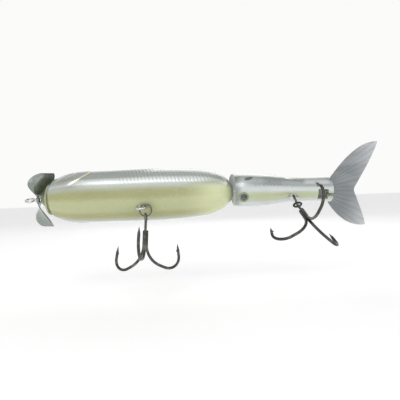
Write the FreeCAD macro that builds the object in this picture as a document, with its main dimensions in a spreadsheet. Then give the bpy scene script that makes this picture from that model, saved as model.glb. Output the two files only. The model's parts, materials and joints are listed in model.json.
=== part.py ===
"""Jointed topwater bait with a spinning nose blade, two treble hooks and a soft tail fin.

Frame: origin at the centre of the line-tie loop, +X from nose to tail, +Z up.
The bait lies rolled about X, so that its belly faces -Y and a little down.
Body pieces are drawn in the bait's own axes (x to the tail, y to its right flank,
z to its back) and each piece's Placement rolls it into the frame. Millimetres.
"""
import FreeCAD, Part
import math
import os
import re

import Sketcher

from FreeCAD import Placement, Rotation, Vector

SIZES = {
    "roll": 67.0,
    "rest_swing": 2.3,
    # front body
    "body_start": 11.0,
    "body_length": 89.6,
    "body_end": "=body_start + body_length",
    "body_width": 25.4,
    "body_height": 26.0,
    "body_rise": 1.5,
    "body_wall": 1.3,
    "bulkhead": 1.6,
    "first_bulkhead_x": 33.0,
    "second_bulkhead_x": 48.0,
    "third_bulkhead_x": 65.0,
    "fourth_bulkhead_x": 78.0,
    "foil": 0.35,
    "foil_start": 24.0,
    "foil_length": 62.0,
    "foil_low": 5.85,
    "foil_high": 8.06,
    "foil_middle_gap": 8.0,
    # nose
    "tie_wire": 1.1,
    "tie_loop_wire": 1.0,
    "tie_loop_radius": 2.05,
    "tie_anchor_x": 22.0,
    "tie_boss_radius": 3.4,
    "tie_boss_cover": 1.0,
    "bead_length": 0.9,
    "bead_radius": 1.2,
    "bead_start": 3.0,
    "bead_gap": 0.15,
    "hub_start": "=bead_start + bead_length + bead_gap",
    "blade_hub_length": 1.0,
    "rear_bead_start": "=hub_start + blade_hub_length + bead_gap",
    "cone_gap": 0.2,
    "cone_start": "=rear_bead_start + bead_length + cone_gap",
    "cone_tip_radius": 1.9,
    "cone_base_radius": 7.6,
    # nose blade
    "blade_hub_radius": 2.1,
    "blade_radius": 13.2,
    "blade_chord": 12.0,
    "blade_sheet": 0.6,
    "blade_clearance": 0.07,
    # ballast and rattle
    "keel_radius": 3.6,
    "keel_drop": 6.0,
    "tube_radius": 4.3,
    "tube_wall": 0.5,
    "tube_height": 4.6,
    "tube_start": 32.0,
    "tube_length": 48.0,
    "plug_length": 1.0,
    "ball_clearance": 0.35,
    "ball_radius": "=tube_radius - tube_wall - ball_clearance",
    "ball_start": 48.0,
    "ball_spacing": 0.2,
    # hangers
    "hanger_wire": 1.1,
    "hanger_neck_extra": 0.2,
    "front_hanger_x": 56.8,
    "front_hanger_stand": 1.9,
    "rear_hanger_stand": 1.8,
    "hanger_loop_radius": 2.1,
    "hanger_depth": 7.0,
    "hanger_boss_radius": 3.0,
    "hanger_boss_cover": 0.6,
    # body joint
    "pin_gap": 4.7,
    "pin_x": "=body_end + pin_gap",
    "pin_radius": 0.8,
    "pin_clearance": 0.08,
    "pin_head_radius": 1.6,
    "pin_head_length": 1.1,
    "pin_depth": 12.5,
    "pin_boss_radius": 2.4,
    "pin_boss_stand": 0.4,
    "pin_head_sink": 0.1,
    "eye_height": 1.0,
    "eye_wire": 1.0,
    "eye_radius": "=pin_radius + pin_clearance + eye_wire / 2",
    "eye_thread_radius": 0.9,
    "joint_gap": 0.35,
    # rear body
    "rear_overlap": 6.3,
    "rear_start": "=pin_x - rear_overlap",
    "rear_face_gap": 2.9,
    "rear_face": "=pin_x - rear_face_gap",
    "rear_face_radius": 26.0,
    "rear_length": 50.5,
    "rear_end": "=rear_start + rear_length",
    "rear_hanger_reach": 30.4,
    "rear_hanger_x": "=rear_start + rear_hanger_reach",
    "rear_width": 16.2,
    "rear_height": 20.4,
    "rear_rise": 3.5,
    "rear_wall": 1.1,
    "rear_weight_radius": 2.3,
    "rear_weight_length": 10.0,
    "rear_weight_drop": 4.6,
    "rear_weight_seat": 1.0,
    "rear_foil_low": 3.4,
    "rear_foil_high": 5.6,
    "rear_foil_middle_gap": 5.0,
    "rear_foil_inset": 1.0,
    "rear_foil_tab_gap": 5.0,
    # tail fin
    "fin_length": 22.4,
    "fin_left_span": 24.8,
    "fin_right_span": 20.0,
    "fin_root": 6.4,
    "fin_sheet": 1.6,
    "tab_width": 5.2,
    "tab_length": 5.0,
    "tab_neck": 1.8,
    "tab_neck_length": 2.4,
    "tab_cover": 1.2,
    "neck_cover": 2.2,
    # split rings
    "ring_radius": 2.75,
    "ring_wire": 0.62,
    "ring_pitch": 0.5,
    "ring_slack": 0.25,
    # treble hooks
    "hook_wire": 1.3,
    "hook_eye_radius": 1.75,
    "hook_eye_wire": 1.0,
    "hook_shank": 20.6,
    "hook_braze_start": 7.0,
    "hook_braze_end": 15.0,
    "hook_corner_radius": 17.6,
    "hook_corner_depth": 25.3,
    "hook_point_radius": 16.3,
    "hook_point_depth": 14.2,
    "hook_bend": 5.6,
    "hook_shoulder": 9.0,
    "hook_point": 3.0,
    "front_hook_lean": 25.0,
}

doc = FreeCAD.newDocument("jointed_bait")
sheet = doc.addObject("Spreadsheet::Sheet", "Sizes")
for row, (name, value) in enumerate(SIZES.items(), start=1):
    sheet.set(f"A{row}", name)
    sheet.setAlias(f"B{row}", name)
    sheet.set(f"B{row}", str(value))
doc.recompute()


def size(name):
    """A driving dimension, read from the sheet."""
    return float(sheet.get(name))


def rule(text):
    """Turns a formula of size names into an expression on the sheet."""
    return re.sub(r"[a-z_]+", lambda word: "Sizes." + word.group(), text)


def bind(obj, **rules):
    """Ties properties to the sheet; a double underscore stands for a dot."""
    for prop, text in rules.items():
        obj.setExpression(prop.replace("__", "."), rule(text))
    return obj


def at(obj, rotation=Rotation(), **rules):
    """Turns a primitive, and ties its position to the sheet."""
    obj.Placement = Placement(Vector(), rotation)
    for axis, text in rules.items():
        obj.setExpression(f"Placement.Base.{axis}", rule(text))
    return obj


ALONG_X = Rotation(Vector(0, 1, 0), 90)
IN_SAGITTAL_PLANE = Rotation(Vector(1, 0, 0), 90)
LURE = Placement(Vector(), Rotation(Vector(-1, 0, 0), size("roll")))
PIN_AXIS = Vector(size("pin_x"), 0, 0)
REAR = LURE.multiply(Placement(Vector(), Rotation(Vector(0, 0, 1), size("rest_swing")), PIN_AXIS))
nodes = []


def piece(obj, placement=LURE):
    """Registers a sub-part: its Label names the file that it is written to."""
    obj.Placement = placement
    nodes.append(obj)
    return obj


def shaped(name, shape, placement=LURE):
    """A sub-part whose shape is made below with Part's own functions."""
    obj = doc.addObject("Part::Feature", name)
    obj.Label = name
    obj.Shape = shape
    return piece(obj, placement)


def fused(name, members, placement=LURE):
    """A sub-part made of several primitives that run into each other."""
    obj = doc.addObject("Part::MultiFuse", name)
    obj.Label = name
    obj.Shapes = members
    obj.Refine = True
    return piece(obj, placement)


def torus(name, ring, wire, **place):
    """A ring of round wire: centre-line radius and wire diameter."""
    obj = doc.addObject("Part::Torus", name)
    bind(obj, Radius1=ring, Radius2=f"{wire} / 2")
    return at(obj, **place)


def rod(name, radius, length, **place):
    """A round bar."""
    obj = doc.addObject("Part::Cylinder", name)
    bind(obj, Radius=radius, Height=length)
    return at(obj, **place)


def turned(name, outline, placement=LURE):
    """A PartDesign body turned about its own x axis from (distance, radius) rules."""
    body = doc.addObject("PartDesign::Body", name)
    body.Label = name
    sketch = body.newObject("Sketcher::SketchObject", name + "_profile")
    plane = next(f for f in body.Origin.OriginFeatures if f.Role == "XY_Plane")
    sketch.AttachmentSupport = [(plane, "")]
    sketch.MapMode = "FlatFace"
    corners = [Vector(*(value_of(r) for r in point), 0) for point in outline]
    for i, corner in enumerate(corners):
        sketch.addGeometry(Part.LineSegment(corner, corners[(i + 1) % len(corners)]), False)
    for i in range(len(corners)):
        sketch.addConstraint(Sketcher.Constraint("Coincident", i, 2, (i + 1) % len(corners), 1))
    for i, point in enumerate(outline):
        for kind, axis, text in (("DistanceX", -2, point[0]), ("DistanceY", -1, point[1])):
            if text == "0":
                sketch.addConstraint(Sketcher.Constraint("PointOnObject", i, 1, axis))
                continue
            held = sketch.addConstraint(Sketcher.Constraint(kind, -1, 1, i, 1, value_of(text)))
            sketch.setExpression(f"Constraints[{held}]", rule(text))
    turn = body.newObject("PartDesign::Revolution", name + "_turn")
    turn.Profile = sketch
    turn.ReferenceAxis = (sketch, ["H_Axis"])
    turn.Angle = 360
    body.Tip = turn
    return piece(body, placement)


def value_of(text):
    """The number that a rule gives with the sheet as it stands."""
    return float(sheet.evalExpression(rule(text)))


# Body sections, as (share of the length, share of the full half-width).
FRONT_SECTIONS = [
    (0.0, 0.625), (0.025, 0.755), (0.108, 0.925), (0.2, 0.975), (0.36, 0.985), (0.51, 1.0),
    (0.62, 0.995), (0.763, 0.945), (0.853, 0.875), (0.904, 0.785), (0.946, 0.635),
    (0.977, 0.45), (0.995, 0.27), (1.0, 0.2),
]
FRONT_CAVITY = FRONT_SECTIONS[1:10]
REAR_SECTIONS = [
    (0.0, 0.86), (0.05, 0.94), (0.13, 1.0), (0.24, 0.985), (0.34, 0.93), (0.46, 0.83),
    (0.57, 0.745), (0.7, 0.7), (0.84, 0.69), (1.0, 0.72),
]
REAR_CAVITY = REAR_SECTIONS[3:9]
FLANK_SQUARENESS = 2.15
SECTION_POINTS = 24


def section(x, half_width, half_height, centre):
    """One closed cross-section, a slightly squared ellipse."""
    power = 2 / FLANK_SQUARENESS
    points = []
    for i in range(SECTION_POINTS):
        turn = 2 * math.pi * i / SECTION_POINTS
        across = math.copysign(abs(math.cos(turn)) ** power, math.cos(turn))
        up = math.copysign(abs(math.sin(turn)) ** power, math.sin(turn))
        points.append(Vector(x, half_width * across, centre + half_height * up))
    curve = Part.BSplineCurve()
    curve.interpolate(points, PeriodicFlag=True)
    return Part.Wire(curve.toShape())


def body_loft(sections, start, end, width, height, centre, inset=0.0):
    """A closed solid through the sections, drawn in by inset."""
    wires = []
    for along, share in sections:
        x = start + along * (end - start)
        wires.append(section(x, share * width / 2 - inset, share * height / 2 - inset, centre))
    return Part.makeLoft(wires, True, False)


def front_loft(sections, inset=0.0):
    return body_loft(sections, size("body_start"), size("body_end"), size("body_width"),
                     size("body_height"), size("body_rise"), inset)


def rear_loft(sections, inset=0.0):
    return body_loft(sections, size("rear_start"), size("rear_end"), size("rear_width"),
                     size("rear_height"), size("rear_rise"), inset)


def half_height_at(sections, x, start, end, height):
    """The body's half-height at x, between the sections on each side of it."""
    along = (x - start) / (end - start)
    for (a, low), (b, high) in zip(sections, sections[1:]):
        if a <= along <= b:
            return height / 2 * (low + (high - low) * (along - a) / (b - a))
    raise ValueError("x lies outside the body")


def box(low, high):
    """A box between two corners."""
    spans = [b - a for a, b in zip(low, high)]
    return Part.makeBox(*spans, Vector(*low))


def cylinder(radius, start, end):
    """A cylinder between two points."""
    axis = Vector(*end) - Vector(*start)
    return Part.makeCylinder(radius, axis.Length, Vector(*start), axis)


# Line tie, beads and nose cone
WIRE = "tie_wire / 2"
tie_parts = [
    torus("tie_loop", "tie_loop_radius", "tie_loop_wire", rotation=IN_SAGITTAL_PLANE),
    rod("tie_shaft", WIRE, "tie_anchor_x - tie_loop_radius", rotation=ALONG_X, x="tie_loop_radius"),
    torus("tie_anchor", "tie_loop_radius", "tie_loop_wire", rotation=IN_SAGITTAL_PLANE,
          x="tie_anchor_x + tie_loop_radius"),
]
line_tie = fused("line_tie_wire", tie_parts)


def bead(name, start):
    """A turned stop bead that the blade runs against."""
    obj = turned(name, [("0", WIRE), ("0", "bead_radius * 0.75"), ("bead_length * 0.25", "bead_radius"),
                        ("bead_length * 0.75", "bead_radius"), ("bead_length", "bead_radius * 0.75"),
                        ("bead_length", WIRE)])
    obj.Placement = LURE.multiply(Placement(Vector(start, 0, 0), Rotation()))


bead("blade_bead_front", size("bead_start"))
bead("blade_bead_rear", size("rear_bead_start"))
hub_start = size("hub_start")
nose_cone = turned("nose_cone", [
    ("0", WIRE), ("0", "cone_tip_radius"),
    ("(body_start - cone_start) * 0.5", "(cone_tip_radius + cone_base_radius) * 0.53"),
    ("(body_start - cone_start) * 0.86", "cone_base_radius"),
    ("body_start - cone_start", "cone_base_radius"), ("body_start - cone_start", WIRE)])
nose_cone.Placement = LURE.multiply(Placement(Vector(size("cone_start"), 0, 0), Rotation()))

# Leaf sections: radius and chord as shares, pitch from the axis in degrees, middle as a share of the radius.
LEAF_SECTIONS = [(0.11, 0.27, 80, 0.0), (0.36, 0.72, 58, 0.01), (0.64, 1.0, 42, 0.07),
                 (0.88, 0.86, 32, 0.2), (1.0, 0.5, 28, 0.34)]


def leaf(turn):
    """One twisted leaf of sheet, standing out from the hub at a turn about the shaft."""
    wires = []
    hub_middle = hub_start + size("blade_hub_length") / 2
    half_sheet = size("blade_sheet") / 2
    for out, chord, pitch, back in LEAF_SECTIONS:
        angle = math.radians(pitch)
        along = Vector(math.cos(angle), math.sin(angle), 0)
        across = Vector(-math.sin(angle), math.cos(angle), 0) * half_sheet
        reach = size("blade_radius")
        middle = Vector(hub_middle + back * reach, 0, out * reach)
        half = along * (chord * size("blade_chord") / 2)
        corners = [middle - half - across, middle + half - across,
                   middle + half + across, middle - half + across]
        wires.append(Part.makePolygon(corners + corners[:1]))
    shape = Part.makeLoft(wires, True, False)
    shape.rotate(Vector(), Vector(1, 0, 0), turn)
    return shape


hub = cylinder(size("blade_hub_radius"), (hub_start, 0, 0),
               (hub_start + size("blade_hub_length"), 0, 0))
bore = cylinder(size("tie_wire") / 2 + size("blade_clearance"), (hub_start - 1, 0, 0),
                (hub_start + size("blade_hub_length") + 1, 0, 0))
shaped("nose_blade", hub.fuse([leaf(0), leaf(180)]).cut(bore), Placement())

# Rattle tube, its plugs and balls
shell_gap = "tube_radius - tube_wall"
tube = turned("rattle_tube", [("0", shell_gap), ("0", "tube_radius"),
                              ("tube_length", "tube_radius"), ("tube_length", shell_gap)])
tube_place = Placement(Vector(size("tube_start"), 0, size("tube_height")), Rotation())
tube.Placement = LURE.multiply(tube_place)
plugs = [
    rod(f"tube_plug_{end}", "tube_radius", "plug_length", rotation=ALONG_X, x=where, z="tube_height")
    for end, where in (("front", "tube_start - plug_length"), ("rear", "tube_start + tube_length"))]
plug_pair = doc.addObject("Part::Compound", "tube_plugs")
plug_pair.Label = "tube_plugs"
plug_pair.Links = plugs
piece(plug_pair)
BALLS = 3
balls = []
for i in range(BALLS):
    ball = doc.addObject("Part::Sphere", f"ball_{i + 1}")
    bind(ball, Radius="ball_radius")
    balls.append(at(ball, x=f"ball_start + (2 * ball_radius + ball_spacing) * {i}", z="tube_height"))
ball_set = doc.addObject("Part::Compound", "rattle_balls")
ball_set.Label = "rattle_balls"
ball_set.Links = balls
piece(ball_set)

# Bulkheads divide the front body, and the keel weights fill two of the bays.
FRONT_BAYS = [size(f"{which}_bulkhead_x") for which in ("first", "second", "third", "fourth")]
bulkhead = size("bulkhead")


def keel_weight(name, bay):
    """A round ballast bar between two bulkheads, low in the body."""
    start = FRONT_BAYS[bay] + bulkhead
    obj = doc.addObject("Part::Cylinder", name)
    obj.Label = name
    bind(obj, Radius="keel_radius")
    obj.Height = FRONT_BAYS[bay + 1] - start
    centre = Vector(start, 0, size("body_rise") - size("keel_drop"))
    piece(obj, LURE.multiply(Placement(centre, ALONG_X)))


keel_weight("keel_weight_front", 0)
keel_weight("keel_weight_rear", 2)


def hanger(name, x, belly, stand, placement):
    """A figure-eight wire: one loop below the belly, one held inside."""
    ring = f"{name}_ring"
    outer = doc.addObject("Part::Torus", ring)
    inner = doc.addObject("Part::Torus", f"{name}_anchor")
    for loop in (outer, inner):
        bind(loop, Radius1="hanger_loop_radius", Radius2="hanger_wire / 2")
    low = belly - size(stand)
    high = belly + size("hanger_depth") - size("hanger_loop_radius")
    outer.Placement = Placement(Vector(x, 0, low), IN_SAGITTAL_PLANE)
    inner.Placement = Placement(Vector(x, 0, high), IN_SAGITTAL_PLANE)
    neck = doc.addObject("Part::Cylinder", f"{name}_neck")
    bind(neck, Radius="(hanger_wire + hanger_neck_extra) / 2")
    neck.Height = high - low - 2 * size("hanger_loop_radius")
    neck.Placement = Placement(Vector(x, 0, low + size("hanger_loop_radius")), Rotation())
    return fused(name, [outer, neck, inner], placement)


front_x = size("front_hanger_x")
front_belly = size("body_rise") - half_height_at(
    FRONT_SECTIONS, front_x, size("body_start"), size("body_end"), size("body_height"))
front_hanger = hanger("front_hanger", front_x, front_belly, "front_hanger_stand", LURE)
rear_x = size("rear_hanger_x")
rear_belly = size("rear_rise") - half_height_at(
    REAR_SECTIONS, rear_x, size("rear_start"), size("rear_end"), size("rear_height"))
rear_hanger = hanger("rear_hanger", rear_x, rear_belly, "rear_hanger_stand", REAR)

# Screw eye of the front body
tail_block = size("body_start") + FRONT_CAVITY[-1][0] * (size("body_end") - size("body_start"))
eye_ring = torus("joint_eye_ring", "eye_radius", "eye_wire", x="pin_x", z="eye_height")
eye_neck = rod("joint_eye_neck", "eye_wire / 2", "pin_x - eye_radius - body_end + pin_radius",
               rotation=ALONG_X, x="body_end - pin_radius", z="eye_height")
eye_thread = doc.addObject("Part::Cylinder", "joint_eye_thread")
bind(eye_thread, Radius="eye_thread_radius")
eye_thread.Height = size("body_end") - tail_block
eye_thread.Placement = Placement(Vector(tail_block, 0, size("eye_height")), ALONG_X)
joint_eye = fused("joint_eye", [eye_ring, eye_neck, eye_thread])

# Hinge pin: a cross-head screw, driven in from the belly through the screw eye
pin_belly = size("rear_rise") - half_height_at(
    REAR_SECTIONS, size("pin_x"), size("rear_start"), size("rear_end"), size("rear_height"))
UPRIGHT = Rotation(Vector(0, 1, 0), -90)
hinge_pin = turned("hinge_pin", [
    ("0", "0"), ("0", "pin_head_radius * 0.85"), ("pin_head_length * 0.3", "pin_head_radius"),
    ("pin_head_length", "pin_head_radius"), ("pin_head_length", "pin_radius"),
    ("pin_depth - pin_radius", "pin_radius"), ("pin_depth", "pin_radius * 0.4"), ("pin_depth", "0")])
recess = hinge_pin.newObject("Sketcher::SketchObject", "pin_recess_profile")
recess_plane = next(f for f in hinge_pin.Origin.OriginFeatures if f.Role == "YZ_Plane")
recess.AttachmentSupport = [(recess_plane, "")]
recess.MapMode = "FlatFace"
arm, half_slot = size("pin_head_radius") * 0.62, size("pin_head_radius") * 0.16
cross = [(half_slot, half_slot), (arm, half_slot), (arm, -half_slot), (half_slot, -half_slot),
         (half_slot, -arm), (-half_slot, -arm), (-half_slot, -half_slot), (-arm, -half_slot),
         (-arm, half_slot), (-half_slot, half_slot), (-half_slot, arm), (half_slot, arm)]
for i, corner in enumerate(cross):
    follower = cross[(i + 1) % len(cross)]
    recess.addGeometry(Part.LineSegment(Vector(*corner, 0), Vector(*follower, 0)), False)
doc.recompute()
before_recess = hinge_pin.Shape.Volume
slot = hinge_pin.newObject("PartDesign::Pocket", "pin_recess")
slot.Profile = recess
slot.Reversed = True
bind(slot, Length="pin_head_length * 0.55")
hinge_pin.Tip = slot
pin_foot = pin_belly - size("pin_boss_stand") + size("pin_head_sink")
hinge_pin.Placement = REAR.multiply(Placement(Vector(size("pin_x"), 0, pin_foot), UPRIGHT))
doc.recompute()
if hinge_pin.Shape.Volume >= before_recess:
    raise RuntimeError("the pin's cross recess cuts nothing")


def local_shape(obj, placement):
    """A sub-part's shape in the bait's own axes."""
    shape = obj.Shape.copy()
    shape.Placement = placement.inverse().multiply(obj.Placement)
    return shape


# Front shells
front_outer = front_loft(FRONT_SECTIONS)
front_hollow = front_loft(FRONT_CAVITY, size("body_wall"))
front_core = front_loft(FRONT_CAVITY, size("body_wall") + size("foil"))
BEYOND = size("body_width") + size("body_height")
rib_stock = [box((x, -BEYOND, -BEYOND), (x + bulkhead, BEYOND, BEYOND)) for x in FRONT_BAYS]
tie_anchor_end = size("tie_anchor_x") + 2 * size("tie_loop_radius") + size("tie_loop_wire") / 2
tie_boss = cylinder(size("tie_boss_radius"), (size("body_start"), 0, 0),
                    (tie_anchor_end + size("tie_boss_cover") - size("tie_loop_wire") / 2, 0, 0))
hanger_boss = cylinder(
    size("hanger_boss_radius"), (front_x, 0, front_belly - size("body_wall")),
    (front_x, 0, front_belly + size("hanger_depth") + size("hanger_boss_cover")))
inside = rib_stock[0].fuse(rib_stock[1:] + [tie_boss, hanger_boss]).common(front_outer)
front_body = front_outer.cut(front_hollow).fuse(inside)
tube_stock = cylinder(size("tube_radius"), (size("tube_start") - size("plug_length"), 0, size("tube_height")),
                      (size("tube_start") + size("tube_length") + size("plug_length"), 0,
                       size("tube_height")))
band = front_hollow.cut(front_core)
foil_ends = (size("foil_start"), size("foil_start") + size("foil_length"))
foil_levels = (size("body_rise") - size("foil_low"), size("body_rise") + size("foil_high"))
near_middle = size("foil_middle_gap") / 2
front_foils = {}
for side, low, high in (("left", -BEYOND, -near_middle), ("right", near_middle, BEYOND)):
    window = box((foil_ends[0], low, foil_levels[0]), (foil_ends[1], high, foil_levels[1]))
    front_foils[side] = band.common(window)
front_body = front_body.cut([
    tube_stock, local_shape(line_tie, LURE), local_shape(front_hanger, LURE),
    local_shape(joint_eye, LURE), front_foils["left"], front_foils["right"]])
for side, low, high in (("left", -BEYOND, 0), ("right", 0, BEYOND)):
    half = front_body.common(box((0, low, -BEYOND), (size("body_end") + 1, high, BEYOND)))
    shaped(f"front_shell_{side}", half)
    shaped(f"front_foil_{side}", front_foils[side])

# Tail fin, cut from soft sheet in the plane across the bait, with a T-shaped tab
rear_end = size("rear_end")
fin_middle = size("rear_rise")


def fin_edge(points):
    """A smooth edge through points given as shares of the fin's length and its side's span."""
    curve = Part.BSplineCurve()
    curve.interpolate([Vector(*p, 0) for p in points])
    return curve.toShape()


def fin_point(along, out):
    """A point of the fin: out is a share of the left span if negative, else of the right."""
    span = size("fin_left_span") if out < 0 else size("fin_right_span")
    return (rear_end + along * size("fin_length"), out * span)


root = size("fin_root")
root_left, root_right = (rear_end, -root), (rear_end, root)
tip_left, tip_right = fin_point(0.9, -1.0), fin_point(1.0, 1.0)
notch = fin_point(0.575, 0.0)
fin_face = Part.Face(Part.Wire([
    Part.LineSegment(Vector(*root_right, 0), Vector(*root_left, 0)).toShape(),
    fin_edge([root_left, fin_point(0.2, -0.535), fin_point(0.41, -0.74), fin_point(0.63, -0.9),
              fin_point(0.78, -0.975), tip_left]),
    fin_edge([tip_left, fin_point(0.86, -0.82), fin_point(0.77, -0.53), fin_point(0.625, -0.16), notch]),
    fin_edge([notch, fin_point(0.73, 0.34), fin_point(0.88, 0.68), fin_point(0.955, 0.88), tip_right]),
    fin_edge([tip_right, fin_point(0.72, 0.985), fin_point(0.5, 0.88), fin_point(0.26, 0.64),
              root_right]),
]))
fin_sheet = size("fin_sheet")
fin_plate = fin_face.extrude(Vector(0, 0, fin_sheet))
fin_plate.translate(Vector(0, 0, fin_middle - fin_sheet / 2))
neck_start = rear_end - size("tab_neck_length")
tab_start = neck_start - size("tab_length")
tab_belly = fin_middle - half_height_at(
    REAR_SECTIONS, tab_start, size("rear_start"), rear_end, size("rear_height"))
tab_low = tab_belly + size("tab_cover")
tab_high = fin_middle + fin_sheet / 2
neck_half, tab_half = size("tab_neck") / 2, size("tab_width") / 2
tab = box((tab_start, -tab_half, tab_low), (neck_start, tab_half, tab_high))
neck = box((neck_start, -neck_half, tab_belly + size("neck_cover")), (rear_end, neck_half, tab_high))
shaped("tail_fin", fin_plate.fuse([tab, neck]), REAR)

# Rear shells
rear_outer = rear_loft(REAR_SECTIONS)
rear_hollow = rear_loft(REAR_CAVITY, size("rear_wall"))
rear_core = rear_loft(REAR_CAVITY, size("rear_wall") + size("foil"))
face_centre = Vector(size("rear_face") - size("rear_face_radius"), 0, size("eye_height"))
face_ball = Part.makeSphere(size("rear_face_radius"), face_centre)
pin_x = size("pin_x")
pin_boss = cylinder(size("pin_boss_radius"), (pin_x, 0, pin_belly - size("pin_boss_stand")),
                    (pin_x, 0, pin_belly + size("pin_boss_radius")))
rear_boss = cylinder(
    size("hanger_boss_radius"), (rear_x, 0, rear_belly - size("rear_wall")),
    (rear_x, 0, rear_belly + size("hanger_depth") + size("hanger_boss_cover"))).common(rear_outer)
rear_body = rear_outer.cut([rear_hollow, face_ball]).fuse([pin_boss, rear_boss])
slot_half = size("eye_radius") + size("eye_wire") / 2 + size("joint_gap")
slot_low = size("eye_height") - size("eye_wire") / 2 - size("joint_gap")
slot_high = size("eye_height") + size("eye_wire") / 2 + size("joint_gap")
eye_slot = box((size("rear_start") - 1, -slot_half, slot_low), (pin_x, slot_half, slot_high)).fuse(
    cylinder(slot_half, (pin_x, 0, slot_low), (pin_x, 0, slot_high)))
hollow_start = size("rear_start") + REAR_CAVITY[0][0] * (rear_end - size("rear_start"))
weight_start = hollow_start - size("rear_weight_seat")
weight_height = size("rear_rise") - size("rear_weight_drop")
rear_weight = doc.addObject("Part::Cylinder", "rear_weight")
rear_weight.Label = "rear_weight"
bind(rear_weight, Radius="rear_weight_radius", Height="rear_weight_length")
piece(rear_weight, REAR.multiply(Placement(Vector(weight_start, 0, weight_height), ALONG_X)))
doc.recompute()
below = fin_middle - size("rear_height")
tab_pocket = box((tab_start, -tab_half, below), (neck_start, tab_half, tab_high)).fuse(
    box((neck_start, -neck_half, below), (rear_end + 1, neck_half, tab_high)))
rear_band = rear_hollow.cut(rear_core)
rear_foils = {}
near_middle = size("rear_foil_middle_gap") / 2
for side, low, high in (("left", -BEYOND, -near_middle), ("right", near_middle, BEYOND)):
    window = box((hollow_start + size("rear_foil_inset"), low, size("rear_rise") - size("rear_foil_low")),
                 (tab_start - size("rear_foil_tab_gap"), high, size("rear_rise") + size("rear_foil_high")))
    rear_foils[side] = rear_band.common(window)
pin_stock = local_shape(hinge_pin, REAR)
pin_well = cylinder(size("pin_head_radius"), (pin_x, 0, below), (pin_x, 0, pin_foot + size("pin_head_length")))
rear_body = rear_body.cut([eye_slot, pin_well, pin_stock, local_shape(rear_hanger, REAR),
                           local_shape(rear_weight, REAR), tab_pocket])
for side, low, high in (("left", -BEYOND, 0), ("right", 0, BEYOND)):
    half = rear_body.common(box((0, low, -BEYOND), (rear_end + 1, high, BEYOND)))
    shaped(f"rear_shell_{side}", half, REAR)
    shaped(f"rear_foil_{side}", rear_foils[side], REAR)


# Split rings: two coils of wire side by side
def split_ring(name, centre, rotation):
    coils = []
    for i, sign in enumerate((-1, 1)):
        coil = doc.addObject("Part::Torus", f"{name}_coil_{i + 1}")
        bind(coil, Radius1="ring_radius", Radius2="ring_wire / 2")
        coil.setExpression("Placement.Base.z", rule(f"{sign} * ring_pitch / 2"))
        coils.append(coil)
    return fused(name, coils, Placement(centre, rotation))


DOWN = Vector(0, 0, -1)
REAR_RING_REACH = Vector(0.022, -0.77, -0.638).normalize()
REAR_RING_SIDE = Vector(-0.428, -0.584, 0.69).normalize()
REAR_SHANK_WAY = Vector(0.049, -0.904, -0.424)
REAR_EYE_WAY = Vector(-0.328, -0.416, 0.848)
ring_drop = size("ring_radius") - size("ring_wire") / 2 - size("hanger_wire") / 2 - size("ring_slack")
front_loop = LURE.multVec(Vector(front_x + size("hanger_loop_radius"), 0,
                                 front_belly - size("front_hanger_stand")))
front_ring_centre = front_loop + DOWN * ring_drop
split_ring("split_ring_front", front_ring_centre, IN_SAGITTAL_PLANE)
rear_loop = REAR.multVec(Vector(rear_x, 0, rear_belly - size("rear_hanger_stand")
                                - size("hanger_loop_radius")))
rear_ring_centre = rear_loop + REAR_RING_REACH * ring_drop
rear_ring_normal = REAR_RING_REACH.cross(REAR_RING_SIDE).normalize()
split_ring("split_ring_rear", rear_ring_centre, Rotation(Vector(0, 0, 1), rear_ring_normal))


def bent_path(points, radii):
    """Straight runs joined by tangent arcs; radii are those of the inner points' bends."""
    edges = []
    last = points[0]
    for before, corner, after, radius in zip(points, points[1:], points[2:], radii):
        inward = (corner - before).normalize()
        outward = (after - corner).normalize()
        half_turn = inward.getAngle(outward) / 2
        reach = radius * math.tan(half_turn)
        start = corner - inward * reach
        end = corner + outward * reach
        towards = (outward - inward).normalize()
        middle = corner + towards * (radius / math.cos(half_turn) - radius)
        edges.append(Part.LineSegment(last, start).toShape())
        edges.append(Part.Arc(start, middle, end).toShape())
        last = end
    edges.append(Part.LineSegment(last, points[-1]).toShape())
    return Part.Wire(edges)


def treble():
    """A treble hook hanging from the origin along -z, its eye open along x."""
    wire_radius = size("hook_wire") / 2
    eye_wire = size("hook_eye_wire") / 2
    eye_radius = size("hook_eye_radius")
    eye_centre = -(eye_radius - eye_wire - size("ring_wire") / 2 - size("ring_slack"))
    eye = Part.makeTorus(eye_radius, eye_wire, Vector(0, 0, eye_centre), Vector(1, 0, 0))
    spine = cylinder(wire_radius * 0.9, (0, 0, eye_centre - eye_radius), (0, 0, -size("hook_braze_end")))
    parts = [spine]
    offset = wire_radius * 1.15
    for turn in (-90, 30, 150):
        points = [
            Vector(offset, 0, -size("hook_braze_start")),
            Vector(offset, 0, -size("hook_shank")),
            Vector(size("hook_corner_radius"), 0, -size("hook_corner_depth")),
            Vector(size("hook_point_radius"), 0, -size("hook_point_depth"))]
        path = bent_path(points, [size("hook_shoulder"), size("hook_bend")])
        profile = Part.Wire(Part.makeCircle(wire_radius, points[0], DOWN))
        limb = path.makePipeShell([profile], True, False)
        rise = (points[-1] - points[-2]).normalize()
        tip = Part.makeCone(wire_radius, 0.06, size("hook_point"), points[-1], rise)
        barb_foot = points[-1] + rise * (size("hook_point") * 0.15)
        barb_way = (rise * -0.9 + Vector(-0.75, 0, 0)).normalize()
        barb = Part.makeCone(wire_radius * 0.62, 0.05, size("hook_point") * 0.62, barb_foot, barb_way)
        limb = limb.fuse([tip, barb])
        limb.rotate(Vector(), Vector(0, 0, 1), turn)
        parts.append(limb)
    return eye.fuse(parts)


def hung(place, shank_way, eye_way):
    """Places a hook: its shank runs along shank_way, and its eye opens along eye_way."""
    down = shank_way.normalize()
    x_axis = (eye_way - down * eye_way.dot(down)).normalize()
    rotation = Rotation(x_axis, Vector(), down * -1, "ZXY")
    return Placement(place, rotation)


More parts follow.
